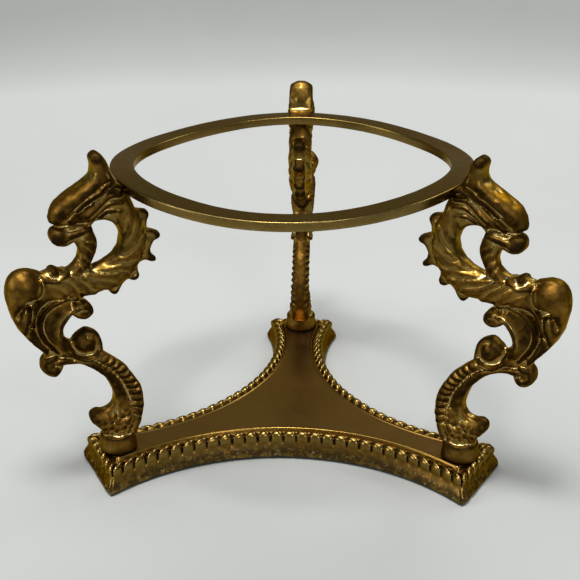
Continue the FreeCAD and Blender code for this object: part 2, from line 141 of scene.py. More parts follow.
class Patch:
    """Distances from a curve, on the part of the leg's plane within reach of it."""

    def __init__(self, line, reach):
        lo = line[:, :2].min(0) - reach
        hi = line[:, :2].max(0) + reach
        spans = zip((lo - (R_LOW, Z_LOW)) / GRID_STEP, (hi - (R_LOW, Z_LOW)) / GRID_STEP)
        self.i, self.j = (slice(max(int(a), 0), int(b) + 2) for a, b in spans)
        r, z = np.meshgrid(r_axis[self.i], z_axis[self.j], indexing="ij")
        best = np.full(r.shape, 1e9)
        self.along = np.zeros(r.shape)
        self.side = np.zeros(r.shape)
        self.extra = np.zeros(r.shape + (line.shape[1] - 2,))
        s = 0.0
        for a, b in zip(line[:-1], line[1:]):
            d = b[:2] - a[:2]
            length = math.hypot(*d)
            if length < 1e-9:
                continue
            t = np.clip(((r - a[0]) * d[0] + (z - a[1]) * d[1]) / length ** 2, 0, 1)
            er, ez = r - a[0] - t * d[0], z - a[1] - t * d[1]
            dist = np.hypot(er, ez)
            near = dist < best
            best[near] = dist[near]
            self.along[near] = (s + t * length)[near]
            self.side[near] = np.sign((d[0] * ez - d[1] * er)[near])
            self.extra[near] = (a[2:] + t[..., None] * (b[2:] - a[2:]))[near]
            s += length
        self.distance = best
        self.across = best * self.side
        self.length = s

    def noise(self, scale, seed):
        """Noise over the strip unrolled, with the distance along the curve and the distance across it."""
        flat = np.stack([self.along.ravel(), self.across.ravel(), 0 * self.across.ravel()], 1)
        return noise(flat, scale, seed).reshape(self.across.shape)


def centre_line(points):
    """The curve through points in the leg's plane, without their widths."""
    return spline([point[:2] for point in points])


def press(patch, depth, sheet=side_relief):
    """Presses depth into a sheet of relief. Positive goes in, negative stands out."""
    sheet[patch.i, patch.j] += depth.astype(np.float32)


def strand(points, blend=0.5, power=2.0):
    """Adds a bar along points. Each point is (distance, height, half width, half thickness)."""
    line = spline(points)
    margin = 1.5
    patch = Patch(line, line[:, 2].max() + blend + margin)
    wide = np.maximum(patch.extra[..., 0], THINNEST)[..., None]
    thick = np.maximum(patch.extra[..., 1], THINNEST)[..., None]
    d = patch.distance[..., None]
    y = y_axis[None, None, :]
    q = ((d / wide) ** power + (y / thick) ** power) ** (1 / power)
    steepness = np.sqrt(d ** 2 / wide ** 4 + y ** 2 / thick ** 4)
    slope = steepness / np.maximum(np.sqrt((d / wide) ** 2 + (y / thick) ** 2), 1e-6)
    value = (q - 1) / np.maximum(slope, 1e-3)
    region = field[patch.i, patch.j]
    region[...] = smooth_min(region, value, blend)


def ball(r, z, radius, thickness, blend=0.5):
    """Adds a rounded knob: a strand of almost no length."""
    shift = 0.05
    strand([(r - shift, z, radius, thickness), (r + shift, z, radius, thickness)], blend)


def groove(points, width, depth, fade=1.0, sheet=relief):
    """Presses a line into the surface, or raises it when depth is negative. Its ends fade out."""
    patch = Patch(centre_line(points), 3 * width)
    ends = np.minimum(patch.along, patch.length - patch.along)
    mark = depth * np.exp(-(patch.distance / width) ** 2) * ease(-0.01, max(fade, 0.02), ends)
    press(patch, mark, sheet)


def score(points, width, depth, fade=1.0):
    """A groove in the two flanks only, which leaves the edges of the leg smooth."""
    groove(points, width, depth, fade, side_relief)


def outline_distance(loops):
    """Signed distance in the leg's plane to closed loops: negative inside the first and outside the rest."""
    r, z = np.meshgrid(r_axis, z_axis, indexing="ij")
    best = np.full(r.shape, 1e9)
    inside = np.zeros(r.shape, bool)
    for loop in loops:
        for a, b in zip(loop, np.roll(loop, -1, axis=0)):
            d = b - a
            length = max(float(d @ d), 1e-12)
            t = np.clip(((r - a[0]) * d[0] + (z - a[1]) * d[1]) / length, 0, 1)
            best = np.minimum(best, (r - a[0] - t * d[0]) ** 2 + (z - a[1] - t * d[1]) ** 2)
            if abs(d[1]) > 1e-9:
                crosses = (a[1] > z) != (b[1] > z)
                inside ^= crosses & (r < a[0] + (z - a[1]) * d[0] / d[1])
    return np.where(inside, -1, 1) * np.sqrt(best)


# Silhouette of a leg: smooth runs that meet at corners.
LEG_OUTLINE = [
    [(62.0, 10.0), (61.6, 13.4), (60.4, 15.2), (58.3, 19.2), (57.0, 24.5), (57.4, 29.6), (59.4, 34.6),
     (63.4, 40.4), (69.4, 46.0)],
    [(69.4, 46.0), (69.9, 50.0), (71.4, 53.6), (74.6, 55.2), (77.4, 53.7), (79.6, 52.0)],
    [(79.6, 52.0), (81.4, 53.6), (82.0, 56.8), (81.1, 59.8), (79.0, 61.6)],
    [(79.0, 61.6), (76.8, 59.5), (74.2, 58.8), (72.1, 59.9), (71.7, 61.8), (73.4, 64.6), (75.8, 66.2)],
    [(75.8, 66.2), (72.6, 67.1), (70.2, 67.5), (68.1, 67.8)],
    [(68.1, 67.8), (66.6, 67.5), (65.6, 66.3), (64.4, 65.3), (63.3, 65.8), (62.3, 67.2), (61.3, 68.8)],
    [(61.3, 68.8), (59.6, 69.9), (57.9, 69.0), (56.5, 69.2), (55.8, 70.6), (56.2, 72.4), (56.0, 74.4)],
    [(56.0, 74.4), (53.6, 75.2), (51.2, 74.3), (49.9, 74.6), (50.1, 75.6), (51.3, 77.0), (51.7, 78.9)],
    [(51.7, 78.9), (50.4, 81.2), (48.7, 81.9), (48.1, 82.8), (48.6, 83.8), (50.2, 84.6), (52.6, 85.6)],
    [(52.6, 85.6), (52.2, 88.2), (51.5, 90.0), (52.2, 91.5), (54.4, 92.2), (56.0, 92.9)],
    [(56.0, 92.9), (57.2, 96.6), (58.6, 99.4), (60.0, 101.2), (62.8, 103.0)],
    [(62.8, 103.0), (63.1, 106.4), (64.6, 109.8), (67.0, 112.5), (68.9, 111.5), (68.8, 108.4),
     (69.4, 105.2), (72.0, 102.8)],
    [(72.0, 102.8), (75.6, 101.0), (79.0, 99.2), (81.4, 97.1), (82.7, 94.7), (82.8, 92.6), (81.9, 91.0)],
    [(81.9, 91.0), (83.2, 88.9), (83.0, 86.7), (81.3, 84.7), (78.6, 84.1), (76.0, 85.2)],
    [(76.0, 85.2), (74.7, 82.6), (75.3, 79.6), (77.3, 77.3), (80.0, 76.4)],
    [(80.0, 76.4), (81.6, 77.2), (83.2, 78.0), (84.4, 77.2), (86.6, 76.6)],
    [(86.6, 76.4), (89.0, 77.8), (92.4, 78.6), (95.6, 77.6), (97.6, 75.0), (98.4, 70.5), (97.2, 64.3),
     (94.7, 58.5), (91.2, 53.6), (87.9, 49.6)],
    [(87.9, 49.6), (89.6, 47.2), (89.7, 44.2), (87.8, 41.6), (85.2, 41.0), (83.6, 42.6), (82.6, 45.0)],
    [(82.6, 45.0), (79.8, 44.8), (76.4, 43.6), (72.2, 40.4), (68.6, 35.8), (66.8, 30.6), (67.2, 27.4)],
    [(67.2, 27.4), (68.4, 25.7), (70.6, 24.8), (73.4, 25.2), (75.4, 24.2), (75.0, 21.4), (72.8, 18.6),
     (71.0, 15.6), (70.8, 10.0)],
    [(70.8, 10.0), (62.0, 10.0)],
]
THROAT_OPENING = [
    [(70.4, 89.6), (69.4, 86.2), (68.9, 83.6), (69.6, 80.6), (71.0, 77.8), (71.9, 75.4)],
    [(71.9, 75.4), (70.1, 76.1), (67.2, 77.1), (64.4, 78.4), (62.4, 80.3), (61.3, 82.9), (61.2, 85.7),
     (62.1, 88.3), (64.2, 90.1), (67.0, 91.0), (69.0, 90.8), (70.4, 89.6)],
]
OUTLINE_SWELL = 0.3
loops = [np.vstack([spline(run, 4)[:-1] for run in runs]) for runs in (LEG_OUTLINE, THROAT_OPENING)]
outline = outline_distance(loops) - OUTLINE_SWELL

# Centre lines that both a mass and its relief follow. A point is (distance, height, half width, half
# thickness), as for every strand.
TAIL_BAR = [
    (62.6, 14.0, 2.9, 3.4), (60.4, 19.4, 2.8, 3.6), (59.5, 24.8, 2.7, 3.6), (60.2, 30.2, 2.7, 3.5),
    (62.6, 35.4, 2.6, 3.4), (66.2, 40.2, 2.4, 3.3), (70.6, 44.0, 2.0, 3.0), (74.6, 46.0, 1.4, 2.4),
]
C_RIM = [
    (73.0, 60.8, 0.45, 3.5), (73.9, 63.0, 0.5, 3.9), (76.6, 63.4, 0.5, 4.1), (79.8, 62.2, 0.5, 4.2),
    (82.2, 59.8, 0.5, 4.2), (83.3, 56.6, 0.5, 4.2), (83.0, 53.0, 0.5, 4.2), (81.6, 49.8, 0.55, 4.2),
    (79.2, 47.0, 0.6, 4.2), (76.0, 45.5, 0.6, 4.1), (72.9, 45.7, 0.6, 3.9), (71.0, 47.6, 0.5, 3.6),
]
NECK = [
    (66.0, 98.0, 4.2, 3.9), (62.0, 95.4, 4.4, 4.0), (59.4, 91.6, 4.1, 4.1), (57.6, 87.2, 4.0, 4.2),
    (57.2, 82.6, 4.2, 4.2), (58.6, 78.6, 4.4, 4.3), (61.4, 75.2, 4.7, 4.3), (65.4, 72.5, 4.9, 4.3),
    (70.4, 71.2, 4.6, 4.4), (76.4, 71.3, 4.8, 4.4), (82.0, 71.8, 4.8, 4.5), (88.0, 72.0, 4.8, 4.5),
]
THROAT = [
    (71.8, 88.0, 1.7, 3.4), (71.7, 85.2, 2.5, 3.5), (72.0, 82.2, 2.5, 3.5), (73.1, 79.2, 2.2, 3.4),
    (75.0, 76.6, 2.2, 3.6), (78.4, 74.6, 1.6, 3.9),
]


def sculpt_blade():
    """The plain cast blade that everything stands on, which is also the fin of spikes."""
    half_thickness, edge_round = 2.2, 1.5
    face = (y_axis - half_thickness)[None, None, :]
    field[...] = np.minimum(field, meet(outline[..., None], face, edge_round))


def sculpt_tail():
    """A bar on the outside of the bend and a smooth strap on the inside."""
    strand(TAIL_BAR, 0.3)
    strand([(65.2, 23.0, 1.5, 3.0), (64.9, 27.8, 1.9, 3.4), (65.9, 32.2, 2.0, 3.5), (68.2, 36.8, 2.0, 3.5),
            (71.6, 40.8, 1.9, 3.5), (75.8, 43.9, 1.8, 3.5), (80.2, 45.6, 1.7, 3.5), (84.2, 46.2, 1.6, 3.5),
            (86.6, 46.0, 1.6, 3.4)], 0.3, power=2.6)


def sculpt_foot():
    """The foot and its turned-up toe."""
    strand([(66.4, 11.0, 4.8, 4.6), (65.9, 15.0, 4.5, 4.3), (64.0, 20.0, 4.6, 4.1),
            (62.6, 25.0, 3.8, 3.6)], 0.8)
    strand([(64.6, 19.0, 4.3, 4.2), (69.0, 20.4, 4.2, 4.0), (73.0, 22.4, 2.6, 3.4)], 1.0)


def sculpt_scroll():
    """The wide C-scroll with a curl at each end, and the lobe that hangs from the hip."""
    strand([(76.0, 64.2, 2.2, 3.2), (79.4, 64.4, 2.7, 3.8), (82.8, 63.2, 3.2, 4.0), (85.0, 60.6, 3.4, 4.1),
            (85.6, 57.0, 3.4, 4.1), (84.6, 53.0, 3.2, 4.0), (81.6, 49.0, 2.8, 3.8)], 0.5, power=2.8)
    ball(74.8, 50.2, 5.0, 3.8, 0.5)
    ball(74.4, 61.6, 2.9, 3.5, 0.4)
    strand([(85.2, 48.4, 1.4, 3.2), (87.4, 46.6, 2.2, 3.6), (87.4, 44.6, 2.6, 3.8),
            (86.0, 43.2, 2.2, 3.5)], 0.5)


def sculpt_shoulder():
    """The shoulder's smooth shell, the leaf down its outside, and the ribbons between it and the scroll."""
    ball(92.7, 73.1, 5.3, 6.2, 0.7)
    strand([(94.6, 71.0, 3.4, 5.2), (95.3, 67.5, 2.7, 5.0), (94.8, 63.0, 2.5, 4.6), (93.2, 58.8, 2.3, 4.2),
            (90.8, 55.0, 2.1, 3.9), (88.2, 51.4, 1.8, 3.6)], 0.8)
    strand([(92.2, 66.6, 1.1, 4.9), (93.0, 64.0, 1.6, 5.1), (93.6, 61.4, 1.7, 4.9), (93.4, 58.6, 1.6, 4.6),
            (92.2, 55.8, 1.5, 4.3), (90.4, 53.0, 1.3, 4.0), (88.2, 50.6, 1.0, 3.7)], 0.6)
    strand([(77.0, 66.9, 1.0, 4.2), (83.3, 66.7, 1.2, 4.5), (86.3, 65.4, 1.2, 4.8), (88.5, 63.0, 1.2, 5.0),
            (89.4, 60.0, 1.2, 5.0), (88.8, 56.4, 1.2, 4.8), (86.9, 52.8, 1.1, 4.5),
            (84.0, 49.0, 0.9, 4.1)], 0.6)
    strand([(84.8, 70.6, 1.2, 4.2), (88.0, 68.2, 1.3, 4.4), (90.3, 65.2, 1.2, 4.5),
            (91.0, 62.4, 0.9, 4.5)], 0.8)
    ball(91.1, 60.8, 0.9, 4.9, 0.3)


def sculpt_neck():
    """Neck and body in one thick rope, then the throat strap, the jaw and the breast."""
    strand(NECK, 0.5, power=2.3)
    strand(THROAT, 0.4)
    strand([(71.2, 88.6, 1.2, 3.6), (74.6, 88.2, 1.5, 3.7), (78.2, 87.6, 1.8, 3.7)], 0.35)
    ball(80.5, 87.5, 3.1, 4.0, 0.3)
    ball(83.4, 76.4, 1.6, 3.6, 0.5)
    strand([(79.4, 75.6, 1.0, 4.2), (83.0, 74.2, 1.3, 4.7), (86.4, 74.8, 1.2, 4.8)], 0.4)


def sculpt_head():
    """A smooth strap from the crest to the beak, folds of skin under it, then the crest and a small ear."""
    strand([(64.0, 98.2, 3.4, 4.0), (68.6, 95.6, 3.4, 4.2), (73.0, 93.0, 2.6, 4.0),
            (76.8, 91.0, 1.6, 3.6)], 0.6)
    strand([(66.8, 108.0, 2.0, 3.9), (66.9, 105.7, 2.2, 4.5), (68.2, 103.5, 2.2, 4.9),
            (71.5, 101.3, 2.3, 5.1), (75.0, 99.2, 2.5, 5.1), (78.0, 97.1, 2.6, 4.9), (80.2, 94.8, 2.4, 4.4),
            (81.2, 92.9, 1.7, 3.4)], 0.4, power=2.1)
    strand([(59.4, 100.6, 0.9, 4.2), (62.0, 101.9, 1.1, 4.9), (63.9, 101.3, 1.0, 5.1),
            (65.4, 99.6, 0.8, 4.9)], 0.3)
    strand([(65.0, 101.4, 0.7, 4.9), (68.0, 99.3, 0.9, 5.1), (71.4, 97.2, 0.9, 5.0),
            (74.6, 94.8, 0.8, 4.5)], 0.25)
    strand([(60.6, 98.6, 0.9, 4.5), (64.2, 99.0, 1.0, 5.0), (67.2, 97.2, 1.0, 5.0), (70.0, 94.8, 0.9, 4.8),
            (73.0, 92.4, 0.7, 4.4)], 0.25)
    strand([(60.4, 96.2, 0.8, 4.5), (64.6, 96.6, 1.0, 4.9), (67.8, 94.6, 0.9, 4.8),
            (70.6, 92.2, 0.7, 4.3)], 0.25)
    strand([(61.2, 93.6, 0.7, 4.4), (65.0, 94.0, 0.9, 4.6), (67.8, 92.4, 0.7, 4.3)], 0.25)
    strand([(66.2, 104.4, 2.8, 4.4), (66.2, 108.0, 2.7, 4.5), (67.1, 110.2, 2.3, 4.4)], 0.6)
    strand([(62.6, 102.6, 0.7, 4.6), (63.8, 104.8, 0.9, 4.7), (64.8, 107.2, 0.6, 4.5)], 0.5)


def press_folds():
    """Folds that wind round the neck and body like the lay of a rope."""
    pitch, slant, bow, depth, lift = 5.2, 1.35, 0.12, 0.75, 0.30
    neck = Patch(centre_line(NECK), 6.5)
    wobble = neck.noise(8.0, 21) * 1.5 + neck.noise(3.2, 22) * 0.5
    strength = 0.75 + 0.45 * neck.noise(5.0, 23)
    lay = ((neck.along - slant * neck.across - bow * neck.across ** 2 + wobble) / pitch) % 1.0
    fold = depth * strength * (ease(0.05, 0.95, lay) ** 1.5) * ease(1.0, 0.90, lay)
    veins = 0.10 * np.cos(6 * math.pi * lay)
    mask = ease(4.5, 9.5, neck.along) * ease(0.5, 7.0, neck.length - neck.along)
    mask *= ease(4.7, 3.4, neck.distance)
    # they stop short of a disc round the throat
    throat_r, throat_z, throat_size = 72.4, 83.0, 5.2
    clear = np.hypot(r_axis[neck.i][:, None] - throat_r, z_axis[neck.j][None, :] - throat_z) - throat_size
    mask *= ease(0.5, 1.8, clear)
    press(neck, (fold - lift + veins) * mask)


def press_ribs():
    """Ribs across the tail's bar."""
    pitch, slant = 2.5, 0.35
    tail = Patch(centre_line(TAIL_BAR), 4.2)
    rib = teeth(tail.along + slant * tail.across + 0.35 * tail.noise(3.0, 31), pitch)
    mask = ease(5.5, 8.5, tail.along) * ease(2, 9, tail.length - tail.along)
    mask *= ease(2.4, 1.5, np.abs(tail.across))
    cut, crown = 0.75 * ease(0.55, 0.9, rib), 0.35 * (1 - (rib / 0.6).clip(0, 1) ** 2)
    press(tail, (cut - crown) * mask)


def press_beads():
    """A line between the bar and the strap that swells and sways like a string of beads."""
    pitch, width, depth = 2.3, 0.38, 0.75
    line = spline([(71.6, 43.2), (67.2, 39.0), (63.8, 33.6), (62.4, 28.9), (62.0, 25.0), (63.2, 22.2),
                   (65.8, 20.9), (69.0, 20.4)])
    string = Patch(line, 2.4)
    phase = 2 * math.pi * string.along / pitch
    strength = 0.62 + 0.30 * np.cos(phase)
    sway = 0.25 * np.cos(phase + 1.5)
    press(string, depth * strength * np.exp(-((string.across - sway) / width) ** 2))


def score_strap():
    """Fine lines along the strap where it runs out to the hip."""
    score([(70.0, 38.0), (73.6, 41.6), (77.6, 44.0), (82.0, 45.4), (85.6, 45.8)], 0.28, 0.40, 4.0)
    score([(76.4, 45.6), (80.0, 46.8), (84.0, 47.4)], 0.28, 0.40, 2.0)
    score([(65.9, 26.0), (66.0, 30.0), (68.0, 35.0), (71.6, 39.6)], 1.1, 0.35, 2.0)


def finish_scroll():
    """The C-scroll's trough, rim and spirals."""
    score([(77.2, 65.2), (80.6, 65.0), (84.0, 63.2), (86.0, 60.2), (86.4, 57.0), (85.5, 53.4), (83.6, 50.2),
           (81.8, 48.0)], 1.75, 1.6, 1.5)
    strand(C_RIM, 0.3)
    score(C_RIM, 0.42, -0.55, 1.5)
    score([(80.6, 53.6), (79.4, 50.6), (77.0, 48.2), (74.0, 47.4), (72.2, 48.9), (72.0, 51.4), (73.4, 53.2),
           (75.6, 53.0)], 0.9, 1.2, 1.0)
    ball(74.8, 50.4, 1.7, 4.1, 0.6)
    score([(77.0, 63.6), (74.6, 63.6), (73.2, 62.0), (74.2, 60.4), (75.6, 61.2)], 0.42, 0.5, 0.5)
    ball(74.6, 61.7, 0.8, 4.0, 0.2)


def score_lines():
    """The mouth, and the lines round the brow, shoulder, ribbons and hip."""
    groove([(71.0, 90.6), (75.0, 90.9), (79.0, 90.7), (83.0, 91.3)], 0.55, 1.2, 0.6)
    score([(64.4, 103.0), (66.9, 100.6), (70.0, 97.9), (73.2, 95.7), (76.4, 93.5),
           (79.4, 91.7)], 0.5, 0.9, 1.0)
    score([(72.2, 92.6), (74.0, 91.9), (75.6, 91.8)], 0.9, 0.9, 0.4)
    score([(88.2, 77.0), (87.3, 74.4), (87.5, 71.6), (88.9, 69.5), (91.0, 68.6),
           (93.4, 69.2)], 0.5, 0.9, 1.5)
    score([(91.0, 66.2), (91.6, 67.8), (93.2, 68.2), (94.8, 67.2), (95.8, 65.4),
           (96.0, 63.0)], 0.6, 1.3, 1.8)
    score([(91.9, 61.6), (92.8, 60.4), (93.4, 58.6), (93.3, 56.4)], 0.55, 1.2, 1.2)
    score([(87.4, 67.2), (89.7, 64.2), (90.3, 61.6), (90.5, 58.4), (89.8, 55.4), (88.0, 51.8),
           (85.8, 49.2)], 0.45, 0.6, 1.6)
    score([(76.2, 66.0), (82.4, 65.7), (85.4, 64.3), (87.3, 62.0), (88.1, 59.4), (87.6, 56.2), (85.8, 52.8),
           (83.0, 49.0)], 0.4, 0.5, 1.0)
    for shift in (0.0, 0.9, 1.8):
        score([(79.6 + shift, 47.4), (83.0 + shift, 47.4), (84.8 + shift, 45.6),
               (84.8 + shift, 43.2)], 0.25, 0.4, 0.8)
    score([(85.2, 46.4), (86.4, 44.8), (87.6, 44.8), (87.8, 46.2), (86.8, 46.8)], 0.4, 0.5)
    score([(84.2, 48.8), (87.0, 48.6), (88.8, 48.2)], 0.4, 0.8)


def press_throat():
    """Slanting cuts across the throat strap."""
    pitch, slant, depth = 2.9, 0.7, 0.55
    throat = Patch(centre_line(THROAT), 3.2)
    twist = teeth(throat.along + slant * throat.across, pitch)
    mask = ease(1.0, 2.5, throat.along) * ease(3.0, 5.0, throat.length - throat.along)
    mask *= ease(2.8, 2.0, throat.distance)
    press(throat, depth * ease(0.55, 1.0, twist) * mask)


def press_spikes():
    """The hollow in each spike, from its root towards its tip."""
    spikes = [
        ((55.6, 91.2), (52.9, 90.6)), ((53.4, 83.6), (50.0, 82.9)), ((54.8, 77.4), (51.6, 75.6)),
        ((58.6, 72.6), (57.2, 70.6)), ((65.0, 68.6), (64.4, 67.0)),
    ]
    for root, tip in spikes:
        score([root, tip], 1.15, 0.75, 0.8)


def press_leaves():
    """The foot's crust of small leaves: each covers the places that are nearest to its centre."""
    size, first_r, first_z = 2.4, 58.0, 14.2
    r, z = np.meshgrid(r_axis, z_axis, indexing="ij")
    nearest = np.full(r.shape, 9.0)
    second = nearest.copy()
    for row in range(7):
        for column in range(8):
            shift = draw(row, column, 3, 41)
            lean = draw(row, column, 9, 43)
            centre_r = first_r + (column + 0.5 * (row % 2) + 0.7 * (shift - 0.5)) * size
            centre_z = first_z + (row + 0.7 * (lean - 0.5)) * size * 0.9
            dr, dz = r - centre_r, z - centre_z
            reach = np.hypot(dr * (1 + 0.6 * lean) + 0.4 * dz, dz * (0.7 + 0.6 * shift))
            second = np.minimum(second, np.maximum(nearest, reach))
            nearest = np.minimum(nearest, reach)
    mask = ease(15.2, 16.8, z) * ease(28.5, 24.5, z + 0.5 * (r - 62))
    mask = mask * ease(60.6, 62.4, r) * ease(73.8, 72.0, r)
    gap = ease(0.75, 0.05, second - nearest)
    side_relief[...] += ((0.60 * gap + 0.16 * nearest - 0.28) * mask).astype(np.float32)


def sculpt_leg():
    """The masses first and then their relief. The order matters, since each joins what stands already."""
    sculpt_blade()
    sculpt_tail()
    sculpt_foot()
    sculpt_scroll()
    sculpt_shoulder()
    sculpt_neck()
    sculpt_head()
    press_folds()
    press_ribs()
    press_beads()
    score_strap()
    finish_scroll()
    score_lines()
    press_throat()
    press_spikes()
    press_leaves()
    flank = ease(FLANK_STARTS, FLANK_FULL, y_axis)[None, None, :]
    field[...] += relief[..., None] + side_relief[..., None] * flank


def keep_to_silhouette(shape):
    """Trims what stands out past the outline, with a soft edge."""
    inset, soft = 0.1, 0.9
    limit = (outline - inset)[..., None] + 0 * y_axis
    return -smooth_min(-shape, -limit, soft)


def add_boss(shape):
    """Joins the flared boss that stands on the deck."""
    bevel, blend = 0.6, 0.3
    reach = BOSS_RADIUS + BOSS_FLARE * (BOSS_TOP - z_axis) / (BOSS_TOP - DECK_TOP)
    wall = np.hypot((r_axis - LEG_RADIUS)[:, None, None], y_axis[None, None, :]) - reach[None, :, None]
    middle, half = (BOSS_TOP + DECK_TOP) / 2, (BOSS_TOP - DECK_TOP) / 2
    end = np.abs(z_axis - middle)[None, :, None] - half
    return smooth_min(shape, meet(wall, end, bevel) + 0 * shape, blend)


def blur(shape):
    """Softens by one grid cell, so that no two sheets of the surface share a cell."""
    for axis in range(3):
        last = shape.shape[axis] - 1
        before = np.concatenate([shape.take([0], axis), shape.take(range(last), axis)], axis)
        after = np.concatenate([shape.take(range(1, last + 1), axis), shape.take([last], axis)], axis)
        shape = (before + 2 * shape + after) / 4
    return shape


def cut_seats(shape):
    """Cuts the seat for the ring, at the height of its wave over a leg, and the flat underside."""
    play = 0.02
    middle, half = (RING_TOP + RING_BOTTOM) / 2 + RING_WAVE, (RING_TOP - RING_BOTTOM) / 2
    ring_wall = np.hypot(r_axis[:, None, None], y_axis[None, None, :]) - RING_OUTER
    ring_face = np.abs(z_axis - middle)[None, :, None] - half
    shape = np.maximum(shape, -np.maximum(ring_wall, ring_face) + play)
    return np.maximum(shape, (DECK_TOP - z_axis)[None, :, None])


# ---- meshes

def fill_saddles(volume):
    """Fills the open corners of each grid face whose corners alternate, where two sheets would join."""
    just_inside = -0.02
    found = True
    while found:
        found = False
        for a, b in ((0, 1), (0, 2), (1, 2)):
            corners = []
            for i, j in ((0, 0), (1, 1), (0, 1), (1, 0)):
                index = [slice(None)] * 3
                index[a] = slice(i, volume.shape[a] - 1 + i)
                index[b] = slice(j, volume.shape[b] - 1 + j)
                corners.append(volume[tuple(index)])
            solid = [corner < 0 for corner in corners]
            saddle = (solid[0] == solid[1]) & (solid[2] == solid[3]) & (solid[0] != solid[2])
            if saddle.any():
                found = True
                for corner in corners:
                    corner[saddle & (corner >= 0)] = just_inside


def surface_nets(volume, origin, step):
    """Quads over the zero level of volume: one vertex for each cell that the surface passes through."""
    inside = volume < 0
    cells = tuple(n - 1 for n in volume.shape)
    total = np.zeros((int(np.prod(cells)), 3))
    count = np.zeros(int(np.prod(cells)))
    crossings = []
    for axis in range(3):
        low = tuple(slice(0, -1) if a == axis else slice(None) for a in range(3))
        high = tuple(slice(1, None) if a == axis else slice(None) for a in range(3))
        at = np.argwhere(inside[low] != inside[high])
        v0 = volume[low][tuple(at.T)]
        v1 = volume[high][tuple(at.T)]
        point = at.astype(float)
        point[:, axis] += v0 / (v0 - v1)
        others = [a for a in range(3) if a != axis]
        ids = []
        for da, db in ((0, 0), (1, 0), (1, 1), (0, 1)):
            cell = at.copy()
            cell[:, others[0]] -= da
            cell[:, others[1]] -= db
            cell = np.clip(cell.T, 0, np.array(cells)[:, None] - 1)
            ids.append(np.ravel_multi_index(tuple(cell), cells))
            for k in range(3):
                total[:, k] += np.bincount(ids[-1], point[:, k], len(total))
            count += np.bincount(ids[-1], minlength=len(count))
        quads = np.stack(ids, 1)
        flip = inside[low][tuple(at.T)] ^ (axis == 1)
        quads[~flip] = quads[~flip][:, ::-1]
        crossings.append(quads)
    used = count > 0
    new_id = np.cumsum(used) - 1
    vertices = np.array(origin) + step * total[used] / count[used][:, None]
    return vertices, new_id[np.vstack(crossings)]


def new_mesh(name, vertices, faces):
    """A smooth-shaded mesh from vertices in mm and faces of any size."""
    mesh = bpy.data.meshes.new(name)
    mesh.from_pydata((np.asarray(vertices) * MM).tolist(), [], [list(map(int, f)) for f in faces])
    mesh.polygons.foreach_set("use_smooth", [True] * len(mesh.polygons))
    mesh.update()
    return mesh


def sweep_quads(rows, columns, closed=False):
    """Quads over rows of vertices. Each row is a loop, and closed joins the last row to the first."""
    row = np.arange(rows if closed else rows - 1)[:, None]
    column = np.arange(columns)
    here, above = row * columns, (row + 1) % rows * columns
    beside = (column + 1) % columns
    return np.stack([here + column, here + beside, above + beside, above + column], 2).reshape(-1, 4)


class Edges:
    """Which vertices are joined by the edges of faces."""

    def __init__(self, faces, count):
        self.a = faces.ravel()
        self.b = np.roll(faces, -1, axis=1).ravel()
        degree = np.bincount(self.a, minlength=count) + np.bincount(self.b, minlength=count)
        self.degree = np.maximum(degree, 1)[:, None]

    def mean(self, v):
        """The mean place of each vertex's neighbours."""
        n = len(v)
        sums = [np.bincount(self.a, v[self.b, k], n) + np.bincount(self.b, v[self.a, k], n) for k in range(3)]
        return np.stack(sums, 1) / self.degree


def relax(vertices, faces, rounds, amount=0.5):
    """Laplacian smoothing with the same share given back, so that the form doesn't shrink."""
    edges = Edges(faces, len(vertices))
    v = vertices.copy()
    for i in range(rounds):
        for factor in (amount, -amount * 1.04):
            v += factor * (edges.mean(v) - v)
    return v


def add_hollow_map(mesh, faces, vertices, spans=((3, 0.30), (21, 0.55), (46, 0.30)), value=0.0):
    """Stores how far each vertex lies in a hollow (positive) or on a high spot (negative), in mm.

    Each span is a number of further smoothing rounds, and the weight of what they and those before change.
    """
    edges = Edges(faces, len(vertices))
    normals = np.zeros(len(mesh.vertices) * 3)
    mesh.vertices.foreach_get("normal", normals)
    normals = normals.reshape(-1, 3)
    v = vertices.copy()
    for rounds, weight in spans:
        for i in range(rounds):
            v += 0.7 * (edges.mean(v) - v)
        value = value + weight * ((v - vertices) * normals).sum(1)
    # the materials paint patina and shade into hollows and highlights onto high spots from this map
    layer = mesh.attributes.new("hollow", "FLOAT", "POINT")
    layer.data.foreach_set("value", value.astype(np.float32))


def roughen(vertices):
    """Makes the skin of the casting a little lumpy, except where the leg stands on the deck."""
    lumps = ease(9.4, 12.0, vertices[:, 2])[:, None]
    shake = [0.15 * noise(vertices, 2.6, k) + 0.07 * noise(vertices, 1.1, k + 3) for k in (61, 62, 63)]
    return vertices + lumps * np.stack(shake, 1)


def nearest_index(axis, low, places):
    """The index on a grid axis that is nearest to each place."""
    return np.rint((places - low) / GRID_STEP).astype(int).clip(0, len(axis) - 1)


def build_leg():
    """The mesh that all three legs share, with the flank and its mirror image in one skin."""
    sculpt_leg()
    shape = cut_seats(blur(add_boss(keep_to_silhouette(field))))
    volume = np.concatenate([shape[:, :, ::-1], shape], axis=2)
    fill_saddles(volume)
    vertices, faces = surface_nets(volume, (R_LOW, Z_LOW, -y_axis[-1]), GRID_STEP)
    vertices = roughen(relax(vertices[:, [0, 2, 1]], faces, 2))
    i = nearest_index(r_axis, R_LOW, vertices[:, 0])
    j = nearest_index(z_axis, Z_LOW, vertices[:, 2])
    pressed = side_relief[i, j] * ease(FLANK_STARTS, FLANK_FULL, np.abs(vertices[:, 1]))
    mesh = new_mesh("leg", vertices, faces)
    # pressed lines count as hollows here, so the material paints shade into them too
    add_hollow_map(mesh, faces, vertices, value=PRESSED_SHARE * pressed)
    return mesh


# ---- plinth

ARM_REACH, SIDE_CENTRE, SIDE_RADIUS = 75.2, 98.4, 74.4


def unit(degrees):
    """The direction at an azimuth."""
    return np.array([math.cos(math.radians(degrees)), math.sin(math.radians(degrees))])


